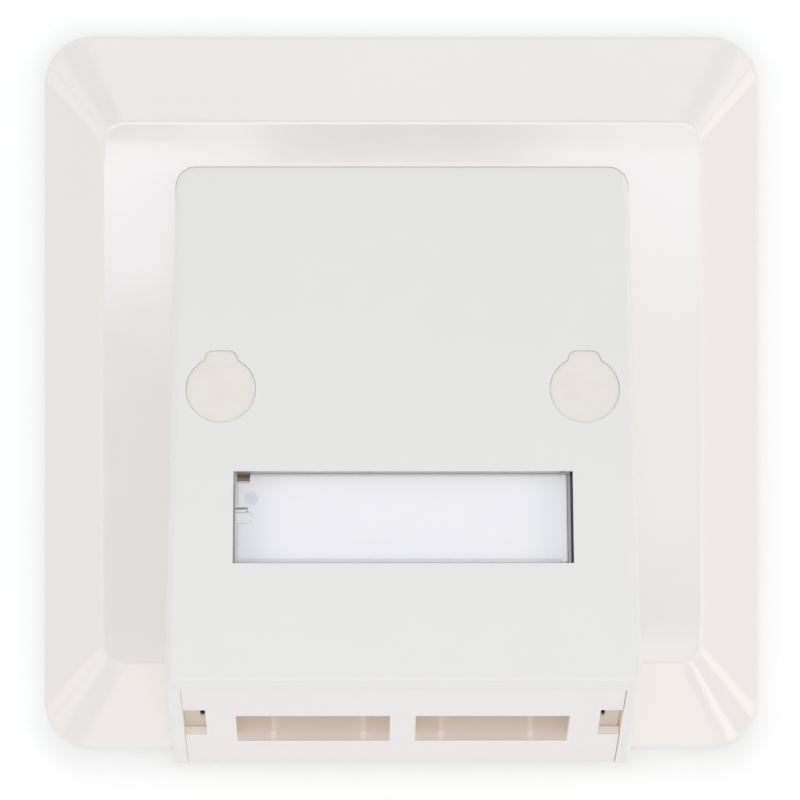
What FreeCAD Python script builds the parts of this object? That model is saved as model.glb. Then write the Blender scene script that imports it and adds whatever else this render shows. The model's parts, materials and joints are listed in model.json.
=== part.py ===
import FreeCAD, Part
import math
import os

# Fibre optic wall outlet: a bevelled cover frame, a wedge-shaped hood with a slanted port panel below,
# and a flat moulded base that screws to a wall box. X runs to the right, Y into the wall and Z up.
# The wall is the plane y = 0, so a height h in front of the wall lies at y = -h. Sizes in millimetres.

V = FreeCAD.Vector
ALONG_X = V(1, 0, 0)
OUT_OF_WALL = V(0, -1, 0)

# Shared fits: radial play of pins, pegs and screws, and how far cutting shapes run past a surface
FIT_PLAY = 0.05
OVERCUT = 1.0
FAR = 60.0
TINY = 1e-4

# Cover frame
FRAME_HALF = 40.0
FRAME_CORNER_R = 5.4
RIM_H = 1.6
RIM_WALL = 2.3
RIM_CHAMFER = 0.3
RIM_CHAMFER_SHARE = 0.04
RIDGE_HALF_X = 33.05
RIDGE_HALF_Z = 30.0
RIDGE_CORNER_R = 2.5
RIDGE_H = 8.0
RIDGE_ROUND = 0.8
FIELD_H = 7.85
FIELD_FLAT_HALF_Z = 25.5
SKIN_BACK_H = 6.1
SKIN_INSET = 0.4
CAVITY_STEP_H = 0.9
SEAT_GAP = 0.05
LEDGE_HALF_X = 24.3
LEDGE_TOP_Z = 24.0
LEDGE_BOTTOM_Z = -28.0
LEDGE_CORNER_R = 1.0
COLLAR_WALL = 1.0
RIB_INSET = 0.8
FRAME_RIB_WALL = 1.0
FRAME_RIB_FOOT_H = 4.1
FRAME_RIB_Z = (-18.0, 0.0, 18.0)
FRAME_RIB_X = (-16.0, 0.0, 16.0)

# Hood: its side profile is set by the top edge, the front lip and the foot of its cheeks
HOOD_HALF_X = 25.0
HOOD_FLARE = 0.45
HOOD_TOP_Z = 25.0
HOOD_TOP_H = 8.4
LIP_Z = -31.2
LIP_H = 27.0
FOOT_Z = -41.5
SEAT_H = 5.8
HOOD_CORNER_R = 2.2
HOOD_EDGE_R = 0.8
FRONT_WALL = 1.6
TOP_WALL = 1.6
SIDE_WALL = 1.1
HOOD_RIB_X = (-8.0, 8.0)
HOOD_RIB_WALL = 0.9
HOOD_RIB_DEPTH = 1.4

# Screw wells, caps and cover screws
WELL_X = 19.8
CAP_V = 0.42
CAP_R = 3.78
CAP_PLAY = 0.035
LUG_HALF = 1.75
LUG_CORNER_R = 0.9
LUG_RISE = 0.62
LUG_DEPTH = 1.2
SOCKET_R = CAP_R + CAP_PLAY
SOCKET_DEPTH = 2.5
SOCKET_WALL = 1.0
WELL_R = 3.1
WELL_WALL = 1.1
WELL_FLOOR_H = 6.4
WELL_FOOT_H = 4.9
SCREW_HOLE_R = 1.7
CAP_RECESS = 0.05
CAP_HEAD_THICK = 0.9
CAP_SKIRT_R = 3.5
CAP_HOLLOW_R = 2.8
CAP_HOLLOW_DEPTH = 1.2
COVER_SCREW_R = 1.5
COVER_SCREW_LENGTH = 5.8
COVER_HEAD_R = 2.75
COVER_HEAD_H = 2.0

# Pan-head screws: shares of the head's height or radius
HEAD_CHAMFER_SHARE = 0.35
RECESS_FLOOR_SHARE = 0.45
RECESS_ARM_SHARE = 0.6
RECESS_WIDTH_SHARE = 0.28

# Label pocket in the hood's face: u runs to the right and v up the face
POCKET_LEFT = -18.35
POCKET_RIGHT = 18.35
POCKET_TOP = -8.9
POCKET_BOTTOM = -19.28
POCKET_DEPTH = 1.25
POCKET_WALL = 1.2
PICK_INSET = 0.4
PICK_WIDTH = 1.4
PICK_HEIGHT = 1.15
CARD_THICK = 0.25
CARD_RIGHT = 17.7
WINDOW_LEFT = -18.15
WINDOW_TOP = -9.15
WINDOW_BOTTOM = -19.1
WINDOW_THICK = 0.9
WINDOW_BACK = -0.95
WINDOW_BEVEL = 0.4
HINGE_U = 17.3
HINGE_PIN_R = 0.25
HINGE_PIN_OUT = 0.5
HINGE_PLAY = 0.08
SNAP_LENGTH = 1.9
SNAP_HEIGHT = 1.36
SNAP_V = -14.12
SNAP_DEPTH = 0.25
SNAP_SLIT = 0.44
SNAP_SLIT_LENGTH = 1.4

# Slanted port panel: w runs back from the lip along the slope
PANEL_HALF_X = 23.845
PANEL_SHIFT_X = -0.025
PANEL_FRONT_W = -1.75
PANEL_INSET = 0.15
PANEL_THICK = 0.95
PORT_INNER_X = 1.4
PORT_OUTER_X = 18.2
PORT_FRONT_W = -10.7
PORT_BACK_W = -19.3
NOTCH_INNER_X = 21.45
NOTCH_FRONT_W = -8.7
NOTCH_BACK_W = -17.1
CATCH_GAP = 0.1
CATCH_REACH = 0.8
CATCH_RECESS = 1.0
CATCH_DEPTH = 3.1
CATCH_CORNER = 0.55
CATCH_CORNER_LENGTH = 5.0
CATCH_GROOVE_SHARE = 2.5
CATCH_GROOVE_DEPTH = 0.9
PANEL_RIB_X = (-20.0, 0.0, 20.0)
PANEL_RIB_FRONT_W = -2.75
PANEL_RIB_WALL = 0.8
PANEL_RIB_DEPTH = 1.8
SHELF_HALF_X = 18.8
SHELF_THICK = 1.0
SHELF_LENGTH = 7.4
SHELF_RIB_X = (-14.2, -4.3, 4.3, 14.2)
SHELF_RIB_WALL = 0.6
SHELF_RIB_RISE = 0.4
PEG_X = 15.0
PEG_HALF = 0.55
PEG_LENGTH = 0.7
PEG_Z = -40.4

# Base
BASE_HALF = 35.5
BASE_CORNER_R = 4.0
BASE_H = 2.0
BOX_SCREW_X = 30.0
SLOT_LENGTH = 7.0
SLOT_R = 2.1
SILL_HALF_X = 24.9
SILL_FOOT_Z = -41.3
SILL_BACK_H = 1.0
BOSS_R = 3.7
ENTRY_HALF_X = 7.0
ENTRY_LOW_Z = 16.6
ENTRY_HIGH_Z = 22.8
ENTRY_CORNER_R = 1.5
DRUM_Z = -3.0
DRUM_R = 12.0
DRUM_WALL = 1.2
DRUM_H = 7.5
DRUM_GAP = 6.0
DRUM_TAB_ANGLES = (45, 135, 225, 315)
DRUM_TAB_OUT = 1.8
DRUM_TAB_WIDTH = 4.0
DRUM_TAB_THICK = 1.0

# Cable clamp with its bosses and screws
CLAMP_Z = 12.4
CLAMP_DEPTH = 4.4
CLAMP_SCREW_X = 5.6
CLAMP_EAR_THICK = 1.2
CLAMP_BOSS_HALF = 2.0
CLAMP_BOSS_H = 4.0
CLAMP_ARCH_R = 2.0
CLAMP_SCREW_R = 1.0
CLAMP_HEAD_R = 1.8
CLAMP_HEAD_H = 1.2
CLAMP_SCREW_LENGTH = 4.4

# Splice holder
HOLDER_HALF_X = 17.0
HOLDER_LOW_Z = -27.6
HOLDER_HIGH_Z = -17.6
HOLDER_FLOOR = 1.0
HOLDER_H = 4.2
HOLDER_COMB_LENGTH = 7.0
HOLDER_GROOVE = 1.5
HOLDER_MOUTH = 1.2
HOLDER_GROOVES = 4
HOLDER_PEG_X = 10.0
HOLDER_PEG_HALF = 0.9
HOLDER_PEG_LENGTH = 1.6

FACE_TILT = math.atan2(LIP_H - HOOD_TOP_H, HOOD_TOP_Z - LIP_Z)
PANEL_LEAN = math.atan2(LIP_Z - FOOT_Z, LIP_H - BASE_H)


def face_height(z):
    """Height of the hood's front face above the wall at a level z."""
    return HOOD_TOP_H + (HOOD_TOP_Z - z) * math.tan(FACE_TILT)


def inner_face_height(z):
    """Height of the inside of the hood's front wall at a level z."""
    return face_height(z) - FRONT_WALL / math.cos(FACE_TILT)


FACE_FRAME = FreeCAD.Placement(
    V(0, -face_height(0), 0), FreeCAD.Rotation(ALONG_X, 90 - math.degrees(FACE_TILT))
)
PANEL_FRAME = FreeCAD.Placement(
    V(0, -LIP_H, LIP_Z), FreeCAD.Rotation(ALONG_X, 180 - math.degrees(PANEL_LEAN))
)


def placed(shape, frame):
    """A shape drawn in a local frame, moved to its place on the face or the panel."""
    moved = shape.copy()
    moved.Placement = frame.multiply(moved.Placement)
    return moved


def block(x_low, x_high, h_low, h_high, z_low, z_high):
    """Upright block between two heights above the wall."""
    return Part.makeBox(x_high - x_low, h_high - h_low, z_high - z_low, V(x_low, -h_high, z_low))


def local_block(u_low, u_high, v_low, v_high, n_low, n_high):
    """Block in a local frame, n along the outward normal."""
    return Part.makeBox(u_high - u_low, v_high - v_low, n_high - n_low, V(u_low, v_low, n_low))


def post(x, z, radius, h_low, h_high):
    """Round post standing out from the wall."""
    return Part.makeCylinder(radius, h_high - h_low, V(x, -h_low, z), OUT_OF_WALL)


def peg(x, z, half, h_low, h_high):
    """Square peg or boss standing out from the wall, or the hole for a peg."""
    return block(x - half, x + half, h_low, h_high, z - half, z + half)


def rounded_outline(x_low, x_high, z_low, z_high, radius, h):
    """Closed outline of a rounded rectangle at a height above the wall."""
    y = -h
    bend = radius * (1 - math.sqrt(0.5))
    corners = (
        (V(x_high - radius, y, z_low), V(x_high - bend, y, z_low + bend), V(x_high, y, z_low + radius)),
        (V(x_high, y, z_high - radius), V(x_high - bend, y, z_high - bend), V(x_high - radius, y, z_high)),
        (V(x_low + radius, y, z_high), V(x_low + bend, y, z_high - bend), V(x_low, y, z_high - radius)),
        (V(x_low, y, z_low + radius), V(x_low + bend, y, z_low + bend), V(x_low + radius, y, z_low)),
    )
    edges = []
    for index, (start, middle, end) in enumerate(corners):
        before = corners[index - 1][2]
        edges.append(Part.LineSegment(before, start).toShape())
        edges.append(Part.Arc(start, middle, end).toShape())
    return Part.Wire(edges)


def slot_outline(x_low, x_high, z, radius, h):
    """Closed outline of a slot with round ends, running along X."""
    y = -h
    left = x_low + radius
    right = x_high - radius
    edges = [
        Part.LineSegment(V(left, y, z - radius), V(right, y, z - radius)).toShape(),
        Part.Arc(V(right, y, z - radius), V(x_high, y, z), V(right, y, z + radius)).toShape(),
        Part.LineSegment(V(right, y, z + radius), V(left, y, z + radius)).toShape(),
        Part.Arc(V(left, y, z + radius), V(x_low, y, z), V(left, y, z - radius)).toShape(),
    ]
    return Part.Wire(edges)


def outline_prism(outline, height):
    """Solid raised from an outline, away from the wall."""
    return Part.Face(outline).extrude(OUT_OF_WALL * height)


def side_prism(points, x_low, x_high):
    """Solid with a side profile of (z, h) points, running along X."""
    corners = [V(x_low, -h, z) for z, h in points]
    return Part.Face(Part.makePolygon(corners + corners[:1])).extrude(ALONG_X * (x_high - x_low))


def edges_at_height(shape, h):
    """Edges that lie wholly at one height above the wall."""
    found = []
    for edge in shape.Edges:
        if all(abs(vertex.Y + h) < TINY for vertex in edge.Vertexes):
            found.append(edge)
    return found


def square_outline(half, radius, h):
    """Outline of a rounded square centred on the frame."""
    return rounded_outline(-half, half, -half, half, radius, h)


def hood_footprint(gap, h_low):
    """Tall prism over the hood's outline, widened by a gap; its sides flare towards the foot."""
    top = HOOD_TOP_Z + gap
    half_top = HOOD_HALF_X + gap
    half_low = half_top + HOOD_FLARE * (HOOD_TOP_Z + FAR) / (HOOD_TOP_Z - LIP_Z)
    corners = [
        V(-half_top, -h_low, top),
        V(half_top, -h_low, top),
        V(half_low, -h_low, -FAR),
        V(-half_low, -h_low, -FAR),
    ]
    prism = Part.Face(Part.makePolygon(corners + corners[:1])).extrude(OUT_OF_WALL * FAR)
    upright = []
    for edge in prism.Edges:
        if edge.BoundBox.YLength > FAR / 2 and edge.BoundBox.ZMin > 0:
            upright.append(edge)
    return prism.makeFillet(HOOD_CORNER_R + gap, upright)


def field_space():
    """Space over the frame's field, which is flat and rises in slow curves to the end ridges."""
    run = RIDGE_HALF_Z - FIELD_FLAT_HALF_Z
    rise = RIDGE_H - FIELD_H
    radius = (run * run + rise * rise) / (2 * rise)
    turn = math.asin((run + OVERCUT) / radius)

    def point(side, angle):
        z = FIELD_FLAT_HALF_Z + radius * math.sin(angle)
        return V(-FAR, -FIELD_H - radius * (1 - math.cos(angle)), side * z)

    edges = [
        Part.LineSegment(point(-1, 0), point(1, 0)),
        Part.Arc(point(1, 0), point(1, turn / 2), point(1, turn)),
        Part.LineSegment(point(1, turn), V(-FAR, -FAR, 0)),
        Part.LineSegment(V(-FAR, -FAR, 0), point(-1, turn)),
        Part.Arc(point(-1, turn), point(-1, turn / 2), point(-1, 0)),
    ]
    return Part.Face(Part.Wire([edge.toShape() for edge in edges])).extrude(ALONG_X * 2 * FAR)


def hood_seat():
    """Spaces that the hood takes in the frame: its seat, the way through, and the gap at the foot."""
    through = outline_prism(
        rounded_outline(-LEDGE_HALF_X, LEDGE_HALF_X, LEDGE_BOTTOM_Z, LEDGE_TOP_Z, LEDGE_CORNER_R, 0), FAR
    )
    below_ledge = block(-FAR, FAR, 0, FAR, -FAR, LEDGE_BOTTOM_Z)
    foot_gap = hood_footprint(SEAT_GAP, CAVITY_STEP_H).common(below_ledge)
    return [hood_footprint(SEAT_GAP, SEAT_H), through, foot_gap]


def bevel_outline(share):
    """Outline of the frame's bevel: share 0 is at the rim, 1 at the ridge, and more lies past it."""
    x = FRAME_HALF + (RIDGE_HALF_X - FRAME_HALF) * share
    z = FRAME_HALF + (RIDGE_HALF_Z - FRAME_HALF) * share
    radius = FRAME_CORNER_R + (RIDGE_CORNER_R - FRAME_CORNER_R) * share
    return rounded_outline(-x, x, -z, z, radius, RIM_H + (RIDGE_H - RIM_H) * share)


def frame_body():
    """Outer form of the frame: rim, bevel up to the ridge, and the field round the hood's seat."""
    rim_outline = square_outline(FRAME_HALF, FRAME_CORNER_R, 0)
    rim = outline_prism(rim_outline, RIM_H - RIM_CHAMFER)
    rim_outline.translate(OUT_OF_WALL * (RIM_H - RIM_CHAMFER))
    crest_share = (2 * RIDGE_H - FIELD_H - RIM_H) / (RIDGE_H - RIM_H)
    outlines = [rim_outline, bevel_outline(RIM_CHAMFER_SHARE), bevel_outline(crest_share)]
    bevel = Part.makeLoft(outlines, True, True)
    body = rim.fuse(bevel).cut(field_space()).removeSplitter().cut(hood_seat())
    ridge_edges = []
    for edge in body.Edges:
        middle = edge.CenterOfMass
        at_ridge = abs(middle.x) > RIDGE_HALF_X - RIDGE_ROUND or abs(middle.z) > RIDGE_HALF_Z - RIDGE_ROUND
        if at_ridge and -edge.BoundBox.YMax > FIELD_H - TINY:
            ridge_edges.append(edge)
    return body.makeFillet(RIDGE_ROUND, ridge_edges)


def frustum(foot_half, foot_h, top_half_x, top_half_z, top_h):
    """Four-sided block that narrows away from the wall, from a square foot to a smaller top."""
    return Part.makeWedge(
        -top_half_x, -top_h, -top_half_z, -foot_half, -foot_half,
        top_half_x, -foot_h, top_half_z, foot_half, foot_half,
    )


def frame():
    """Cover frame: a hollow moulding with a collar, a ledge round the hood's seat, and ribs."""
    wide = FRAME_HALF - RIM_WALL
    cavity = block(-wide, wide, 0, CAVITY_STEP_H, -wide, wide)
    cavity = cavity.fuse(
        frustum(wide, CAVITY_STEP_H, RIDGE_HALF_X - SKIN_INSET, RIDGE_HALF_Z - SKIN_INSET, SKIN_BACK_H)
    )
    inner = frustum(
        FRAME_HALF - RIB_INSET, RIM_H,
        RIDGE_HALF_X - RIB_INSET, RIDGE_HALF_Z - RIB_INSET, FIELD_H - RIB_INSET,
    )
    walls = [hood_footprint(SEAT_GAP + COLLAR_WALL, BASE_H)]
    half = FRAME_RIB_WALL / 2
    for z in FRAME_RIB_Z:
        walls.append(block(-FRAME_HALF, FRAME_HALF, FRAME_RIB_FOOT_H, RIDGE_H, z - half, z + half))
    for x in FRAME_RIB_X:
        walls.append(block(x - half, x + half, FRAME_RIB_FOOT_H, RIDGE_H, 0, FRAME_HALF))
    seat = hood_seat()
    walls = [inner.common(wall).cut(seat) for wall in walls]
    return frame_body().cut(cavity).fuse(walls).removeSplitter()


def hood_body():
    """Outer form of the hood: a wedge with rounded top corners and softened edges."""
    profile = [
        (HOOD_TOP_Z, SEAT_H),
        (HOOD_TOP_Z, HOOD_TOP_H),
        (LIP_Z, LIP_H),
        (FOOT_Z, BASE_H),
        (LEDGE_BOTTOM_Z - SEAT_GAP, BASE_H),
        (LEDGE_BOTTOM_Z - SEAT_GAP, SEAT_H),
    ]
    body = side_prism(profile, -FAR, FAR).common(hood_footprint(0, 0))
    front = max(body.Faces, key=lambda face: face.Area)
    soft_edges = list(front.Edges)
    for edge in body.Edges:
        box = edge.BoundBox
        if abs(box.ZMin - FOOT_Z) < TINY and abs(box.ZMax - LIP_Z) < TINY:
            soft_edges.append(edge)
    return body.makeFillet(HOOD_EDGE_R, soft_edges)


def cap_place(side):
    """Local place of a screw cap on the hood's face."""
    return V(side * WELL_X, CAP_V, 0)


def cap_outline(centre, n, play):
    """Closed outline of a cap's head, a circle with a round-cornered lug at its top, widened by a play."""
    radius = CAP_R + play
    half = LUG_HALF + play
    top = CAP_R + LUG_RISE + play
    corner = LUG_CORNER_R + play
    foot = math.sqrt(radius * radius - half * half)
    bend = corner * (1 - math.sqrt(0.5))

    def point(u, v):
        return centre + V(u, v, n)

    edges = [
        Part.Arc(point(-half, foot), point(0, -radius), point(half, foot)),
        Part.LineSegment(point(half, foot), point(half, top - corner)),
        Part.Arc(point(half, top - corner), point(half - bend, top - bend), point(half - corner, top)),
        Part.LineSegment(point(half - corner, top), point(corner - half, top)),
        Part.Arc(point(corner - half, top), point(bend - half, top - bend), point(-half, top - corner)),
        Part.LineSegment(point(-half, top - corner), point(-half, foot)),
    ]
    return Part.Wire([edge.toShape() for edge in edges])


def well_tube(side):
    """Socket and screw well under one cap, before they are hollowed."""
    centre = cap_place(side)
    socket = Part.makeCylinder(
        SOCKET_R + SOCKET_WALL, SOCKET_DEPTH, centre - V(0, 0, SOCKET_DEPTH + SOCKET_WALL), V(0, 0, 1)
    )
    socket_floor_h = face_height(0) - SOCKET_DEPTH
    tube = post(side * WELL_X, 0, WELL_R + WELL_WALL, WELL_FOOT_H, socket_floor_h)
    return placed(socket, FACE_FRAME).fuse(tube)


def well_hollow(side):
    """Space cut for one cap and its lug, the screw head and the screw."""
    centre = cap_place(side)
    floor = centre - V(0, 0, SOCKET_DEPTH)
    socket = Part.makeCylinder(SOCKET_R, SOCKET_DEPTH + OVERCUT, floor, V(0, 0, 1))
    lug_space = Part.Face(cap_outline(centre, -LUG_DEPTH, CAP_PLAY)).extrude(V(0, 0, LUG_DEPTH + OVERCUT))
    spaces = placed(socket.fuse(lug_space), FACE_FRAME)
    socket_floor_h = face_height(0) - SOCKET_DEPTH
    head_space = post(side * WELL_X, 0, WELL_R, WELL_FLOOR_H, socket_floor_h + OVERCUT / 2)
    shank_space = post(side * WELL_X, 0, SCREW_HOLE_R, WELL_FOOT_H - OVERCUT, WELL_FLOOR_H + OVERCUT)
    return spaces.fuse([head_space, shank_space])


def label_pocket():
    """Space cut for the label, its window, the window's pivots and the pick slot."""
    space = local_block(POCKET_LEFT, POCKET_RIGHT, POCKET_BOTTOM, POCKET_TOP, -POCKET_DEPTH, OVERCUT)
    slot_floor = -POCKET_DEPTH - POCKET_WALL - OVERCUT
    slot_left = POCKET_LEFT + PICK_INSET
    slot = local_block(
        slot_left, slot_left + PICK_WIDTH, POCKET_TOP - PICK_HEIGHT, POCKET_TOP, slot_floor, -POCKET_DEPTH
    )
    axis_n = WINDOW_BACK + WINDOW_THICK / 2
    reach = HINGE_PIN_OUT + HINGE_PLAY
    pivots = Part.makeCylinder(
        HINGE_PIN_R + HINGE_PLAY,
        WINDOW_TOP - WINDOW_BOTTOM + 2 * reach,
        V(HINGE_U, WINDOW_BOTTOM - reach, axis_n),
        V(0, 1, 0),
    )
    return placed(space.fuse([slot, pivots]), FACE_FRAME)


def cheek_catch(side):
    """Snap catch on the inside of one cheek, sunk in the panel's notch and reaching under its end."""
    inner = NOTCH_INNER_X + CATCH_GAP
    cheek = HOOD_HALF_X - SIDE_WALL
    front = NOTCH_FRONT_W - CATCH_GAP
    back = NOTCH_BACK_W - CATCH_REACH
    front_n = -PANEL_INSET - CATCH_RECESS
    catch = local_block(inner, HOOD_HALF_X, back, front, -PANEL_INSET - CATCH_DEPTH, front_n)
    corner = local_block(inner, inner + CATCH_CORNER, front - CATCH_CORNER_LENGTH, front, -FAR, FAR)
    groove_width = (cheek - PANEL_HALF_X - side * PANEL_SHIFT_X) * CATCH_GROOVE_SHARE
    groove = local_block(cheek - groove_width, cheek, back, front, front_n - CATCH_GROOVE_DEPTH, front_n)
    catch = catch.cut([corner, groove])
    if side < 0:
        catch = catch.mirror(V(0, 0, 0), ALONG_X)
    return placed(catch, PANEL_FRAME)


def hood():
    """Hood: a thin-walled wedge with screw wells, label pocket, cheeks and panel catches."""
    body = hood_body()
    inner_x = HOOD_HALF_X - SIDE_WALL
    inner_top = HOOD_TOP_Z - TOP_WALL
    inside = side_prism(
        [
            (inner_top, 0),
            (inner_top, inner_face_height(inner_top)),
            (-FAR, inner_face_height(-FAR)),
            (-FAR, 0),
        ],
        -inner_x,
        inner_x,
    )
    additions = []
    for side in (-1, 1):
        additions.append(well_tube(side))
        additions.append(cheek_catch(side))
    tray = local_block(
        POCKET_LEFT - POCKET_WALL,
        POCKET_RIGHT + POCKET_WALL,
        POCKET_BOTTOM - POCKET_WALL,
        POCKET_TOP + POCKET_WALL,
        -POCKET_DEPTH - POCKET_WALL,
        -FRONT_WALL / 2,
    )
    additions.append(placed(tray, FACE_FRAME))
    rib_top = (HOOD_TOP_Z - TOP_WALL / 2) / math.cos(FACE_TILT)
    for x in HOOD_RIB_X:
        half = HOOD_RIB_WALL / 2
        rib = local_block(
            x - half, x + half, POCKET_TOP, rib_top, -FRONT_WALL - HOOD_RIB_DEPTH, -FRONT_WALL / 2
        )
        additions.append(placed(rib, FACE_FRAME))
    shell = body.cut(inside).fuse(additions)
    shell = shell.cut([well_hollow(-1), well_hollow(1), label_pocket()])
    return shell.removeSplitter()


def screw_cap(side):
    """Plug that hides a cover screw: a flat head with a pry lug, on a narrower hollow skirt."""
    head_back = -CAP_RECESS - CAP_HEAD_THICK
    head = Part.Face(cap_outline(cap_place(side), head_back, 0)).extrude(V(0, 0, CAP_HEAD_THICK))
    back = cap_place(side) - V(0, 0, SOCKET_DEPTH)
    skirt = Part.makeCylinder(CAP_SKIRT_R, head_back - back.z, back, V(0, 0, 1))
    hollow = Part.makeCylinder(CAP_HOLLOW_R, CAP_HOLLOW_DEPTH, back, V(0, 0, 1))
    return placed(head.fuse(skirt).cut(hollow).removeSplitter(), FACE_FRAME)


def pan_head_screw(x, z, seat_h, radius, length, head_r, head_h):
    """Pan-head screw driven straight at the wall, with a cross recess."""
    shank = post(x, z, radius, seat_h - length, seat_h)
    head = post(x, z, head_r, seat_h, seat_h + head_h)
    top_h = seat_h + head_h
    head = head.makeChamfer(head_h * HEAD_CHAMFER_SHARE, edges_at_height(head, top_h))
    arm = head_r * RECESS_ARM_SHARE
    half = head_r * RECESS_WIDTH_SHARE / 2
    recess_h = seat_h + head_h * RECESS_FLOOR_SHARE
    across = block(x - arm, x + arm, recess_h, top_h + OVERCUT, z - half, z + half)
    along = block(x - half, x + half, recess_h, top_h + OVERCUT, z - arm, z + arm)
    return shank.fuse(head).cut(across.fuse(along)).removeSplitter()


def cover_screw(side):
    """Screw that clamps the hood and the frame to the base."""
    return pan_head_screw(
        side * WELL_X, 0, WELL_FLOOR_H, COVER_SCREW_R, COVER_SCREW_LENGTH, COVER_HEAD_R, COVER_HEAD_H
    )


def label_window():
    """Clear label window: a bevelled plate with a round hinge edge, pivots, a sunk snap and a cut corner."""
    top_n = WINDOW_BACK + WINDOW_THICK
    plate = local_block(WINDOW_LEFT, HINGE_U, WINDOW_BOTTOM, WINDOW_TOP, WINDOW_BACK, top_n)
    front_edges = []
    for edge in plate.Edges:
        middle = edge.CenterOfMass
        if abs(middle.z - top_n) < TINY and middle.x < HINGE_U - TINY:
            front_edges.append(edge)
    plate = plate.makeChamfer(WINDOW_BEVEL, front_edges)
    axis_n = WINDOW_BACK + WINDOW_THICK / 2
    hinge_foot = V(HINGE_U, WINDOW_BOTTOM, axis_n)
    height = WINDOW_TOP - WINDOW_BOTTOM
    bead = Part.makeCylinder(WINDOW_THICK / 2, height, hinge_foot, V(0, 1, 0))
    pins = Part.makeCylinder(
        HINGE_PIN_R, height + 2 * HINGE_PIN_OUT, hinge_foot - V(0, HINGE_PIN_OUT, 0), V(0, 1, 0)
    )
    window = plate.fuse([bead, pins])

    snap_r = SNAP_HEIGHT / 2
    snap_top = SNAP_V + snap_r
    past_left = WINDOW_LEFT - OVERCUT
    snap_end = V(WINDOW_LEFT + SNAP_LENGTH - snap_r, SNAP_V, top_n - SNAP_DEPTH)
    pick_right = POCKET_LEFT + PICK_INSET + PICK_WIDTH
    cuts = [
        local_block(past_left, pick_right, POCKET_TOP - PICK_HEIGHT, WINDOW_TOP + OVERCUT, -FAR, FAR),
        local_block(past_left, WINDOW_LEFT + SNAP_SLIT_LENGTH, snap_top, snap_top + SNAP_SLIT, -FAR, FAR),
        local_block(past_left, snap_end.x, SNAP_V - snap_r, snap_top, snap_end.z, FAR),
        Part.makeCylinder(snap_r, OVERCUT, snap_end, V(0, 0, 1)),
    ]
    return placed(window.cut(cuts).removeSplitter(), FACE_FRAME)


def label_card():
    """Blank paper card on the pocket's floor, with its corner cut away at the pick slot."""
    card = local_block(
        WINDOW_LEFT, CARD_RIGHT, WINDOW_BOTTOM, WINDOW_TOP, -POCKET_DEPTH, CARD_THICK - POCKET_DEPTH
    )
    pick_right = POCKET_LEFT + PICK_INSET + PICK_WIDTH
    corner = local_block(-FAR, pick_right, POCKET_TOP - PICK_HEIGHT, WINDOW_TOP + OVERCUT, -FAR, FAR)
    return placed(card.cut(corner), FACE_FRAME)


def port_panel():
    """Slanted plate with two ports, end notches, an adapter shelf, stiffening ribs and two locating pegs."""
    left = PANEL_SHIFT_X - PANEL_HALF_X
    right = PANEL_SHIFT_X + PANEL_HALF_X
    front_n = -PANEL_INSET
    back_n = front_n - PANEL_THICK
    plate = local_block(left, right, -FAR, PANEL_FRONT_W, back_n, front_n)
    ribs = []
    for x in PANEL_RIB_X:
        half = PANEL_RIB_WALL / 2
        ribs.append(
            local_block(x - half, x + half, -FAR, PANEL_RIB_FRONT_W, back_n - PANEL_RIB_DEPTH, front_n)
        )
    shelf_end = back_n - SHELF_LENGTH
    shelf = local_block(
        -SHELF_HALF_X, SHELF_HALF_X, PORT_BACK_W - SHELF_THICK, PORT_BACK_W, shelf_end, front_n
    )
    guides = []
    for x in SHELF_RIB_X:
        half = SHELF_RIB_WALL / 2
        guides.append(
            local_block(
                x - half, x + half, PORT_BACK_W - SHELF_THICK, PORT_BACK_W + SHELF_RIB_RISE,
                shelf_end, back_n,
            )
        )
    cuts = []
    for side in (-1, 1):
        inner, outer = sorted((side * PORT_INNER_X, side * PORT_OUTER_X))
        cuts.append(local_block(inner, outer, PORT_BACK_W, PORT_FRONT_W, -FAR, FAR))
        inner, outer = sorted((side * NOTCH_INNER_X, side * FAR))
        cuts.append(local_block(inner, outer, NOTCH_BACK_W, NOTCH_FRONT_W, -FAR, FAR))
    panel = plate.fuse(ribs).cut(cuts).fuse([shelf] + guides)
    panel = placed(panel, PANEL_FRAME)
    panel = panel.cut(block(-FAR, FAR, -FAR, BASE_H, -FAR, FAR))
    pegs = []
    for side in (-1, 1):
        pegs.append(peg(side * PEG_X, PEG_Z, PEG_HALF, BASE_H - PEG_LENGTH, BASE_H + PEG_LENGTH))
    return panel.fuse(pegs).removeSplitter()


def fibre_drum():
    """Round wall that the spare fibre is wound on, with a gap at the top and retaining tabs."""
    drum = post(0, DRUM_Z, DRUM_R, BASE_H, DRUM_H).cut(post(0, DRUM_Z, DRUM_R - DRUM_WALL, 0, FAR))
    half = DRUM_GAP / 2
    drum = drum.cut(block(-half, half, 0, FAR, DRUM_Z, DRUM_Z + FAR))
    tabs = []
    for angle in DRUM_TAB_ANGLES:
        tab = block(
            DRUM_R - DRUM_WALL, DRUM_R + DRUM_TAB_OUT, DRUM_H - DRUM_TAB_THICK, DRUM_H,
            -DRUM_TAB_WIDTH / 2, DRUM_TAB_WIDTH / 2,
        )
        tab.rotate(V(0, 0, 0), OUT_OF_WALL, angle)
        tab.translate(V(0, 0, DRUM_Z))
        tabs.append(tab)
    return drum.fuse(tabs)


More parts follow.
